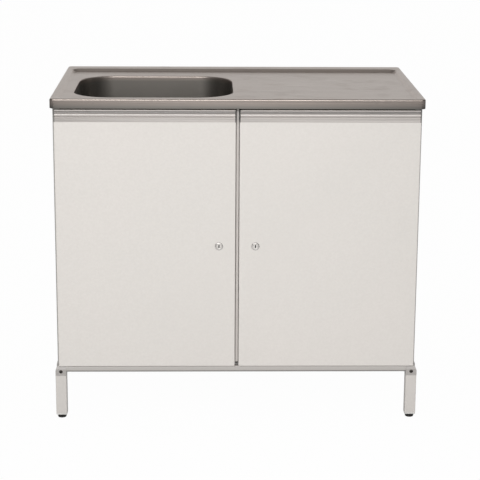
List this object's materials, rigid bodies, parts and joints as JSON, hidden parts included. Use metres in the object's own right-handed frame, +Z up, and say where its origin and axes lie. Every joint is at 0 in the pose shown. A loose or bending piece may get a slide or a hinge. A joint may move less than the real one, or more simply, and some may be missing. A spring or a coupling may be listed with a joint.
{
  "type": "sink_bench",
  "caption": "Steel sink bench with pressed worktop, drawn bowl on the left, rimmed draining field and lockable hinged doors with grip profiles",
  "frame": {"origin": "On the floor, under the middle of the 1000 x 600 mm worktop", "axes": "+X to the right as seen from the front, the doors face -Y, +Z up"},
  "size_m": [1, 0.6, 0.9],
  "materials": {
    "stainless": "brushed stainless sheet, satin",
    "cabinet_enamel": "grey powder coat",
    "frame_enamel": "light grey powder coat",
    "rail_enamel": "grey powder coat",
    "door_enamel": "off-white powder coat",
    "anodised_aluminium": "clear anodised extrusion",
    "cast_alloy": "light grey coated die casting",
    "dark_steel": "blackened steel",
    "zinc_steel": "zinc plated",
    "lock_chrome": "nickel plated zinc",
    "black_plastic": "moulded, fine grain",
    "grey_plastic": "moulded",
    "white_plastic": "moulded",
    "black_rubber": "soft",
    "batten_wood": "planed softwood",
    "collar_plastic": "moulded, light grey"
  },
  "bodies": {
    "cabinet": {"worktop": "stainless", "sink_bowl": "stainless", "worktop_battens": "batten_wood", "drainer_stiffeners": "zinc_steel", "worktop_screws": "zinc_steel", "waste_flange": "stainless", "waste_seal": "black_rubber", "waste_body": "white_plastic", "waste_screw": "zinc_steel", "side_panel_left": "cabinet_enamel", "side_panel_right": "cabinet_enamel", "back_panel": "cabinet_enamel", "bottom_pan": "cabinet_enamel", "centre_post": "frame_enamel", "front_top_rail": "cabinet_enamel", "back_top_rail": "cabinet_enamel", "base_rail_front": "rail_enamel", "base_rail_back": "rail_enamel", "base_side_rails": "rail_enamel", "corner_casting_front_left": "cast_alloy", "corner_casting_front_right": "cast_alloy", "corner_casting_back_left": "cast_alloy", "corner_casting_back_right": "cast_alloy", "leg_front_left": "frame_enamel", "leg_front_right": "frame_enamel", "leg_back_left": "frame_enamel", "leg_back_right": "frame_enamel", "leg_bolts": "dark_steel", "foot_inserts": "collar_plastic", "top_hinge_plates": "zinc_steel", "hinge_pins": "zinc_steel", "door_buffers": "black_rubber", "cabinet_screws": "zinc_steel"},
    "door_left": {"door_skin_left": "door_enamel", "door_liner_left": "door_enamel", "door_stiffener_left": "zinc_steel", "grip_profile_left": "anodised_aluminium", "grip_caps_left": "grey_plastic", "hinge_bushes_left": "white_plastic", "lock_body_left": "lock_chrome", "lock_nut_left": "zinc_steel"},
    "lock_left": {"lock_plug_left": "lock_chrome", "lock_cam_left": "zinc_steel", "cam_screw_left": "zinc_steel"},
    "door_right": {"door_skin_right": "door_enamel", "door_liner_right": "door_enamel", "door_stiffener_right": "zinc_steel", "grip_profile_right": "anodised_aluminium", "grip_caps_right": "grey_plastic", "hinge_bushes_right": "white_plastic", "lock_body_right": "lock_chrome", "lock_nut_right": "zinc_steel"},
    "lock_right": {"lock_plug_right": "lock_chrome", "lock_cam_right": "zinc_steel", "cam_screw_right": "zinc_steel"},
    "foot_front_left": {"levelling_foot_front_left": "black_plastic"},
    "foot_front_right": {"levelling_foot_front_right": "black_plastic"},
    "foot_back_left": {"levelling_foot_back_left": "black_plastic"},
    "foot_back_right": {"levelling_foot_back_right": "black_plastic"}
  },
  "joints": [
    {"name": "door_left_hinge", "type": "hinge", "parent": "cabinet", "child": "door_left", "pos_m": [-0.481, -0.279, 0.1525], "axis": [0, 0, -1], "range_deg": [0, 110]},
    {"name": "door_right_hinge", "type": "hinge", "parent": "cabinet", "child": "door_right", "pos_m": [0.481, -0.279, 0.1525], "axis": [0, 0, 1], "range_deg": [0, 110]},
    {"name": "lock_left_turn", "type": "hinge", "parent": "door_left", "child": "lock_left", "pos_m": [-0.0495, -0.27, 0.4945], "axis": [0, 1, 0], "range_deg": [0, 90]},
    {"name": "lock_right_turn", "type": "hinge", "parent": "door_right", "child": "lock_right", "pos_m": [0.0495, -0.27, 0.4945], "axis": [0, -1, 0], "range_deg": [0, 90]},
    {"name": "foot_front_left_screw", "type": "slide", "parent": "cabinet", "child": "foot_front_left", "axis": [0, 0, -1], "range_m": [0, 0.02]},
    {"name": "foot_front_right_screw", "type": "slide", "parent": "cabinet", "child": "foot_front_right", "axis": [0, 0, -1], "range_m": [0, 0.02]},
    {"name": "foot_back_left_screw", "type": "slide", "parent": "cabinet", "child": "foot_back_left", "axis": [0, 0, -1], "range_m": [0, 0.02]},
    {"name": "foot_back_right_screw", "type": "slide", "parent": "cabinet", "child": "foot_back_right", "axis": [0, 0, -1], "range_m": [0, 0.02]}
  ]
}
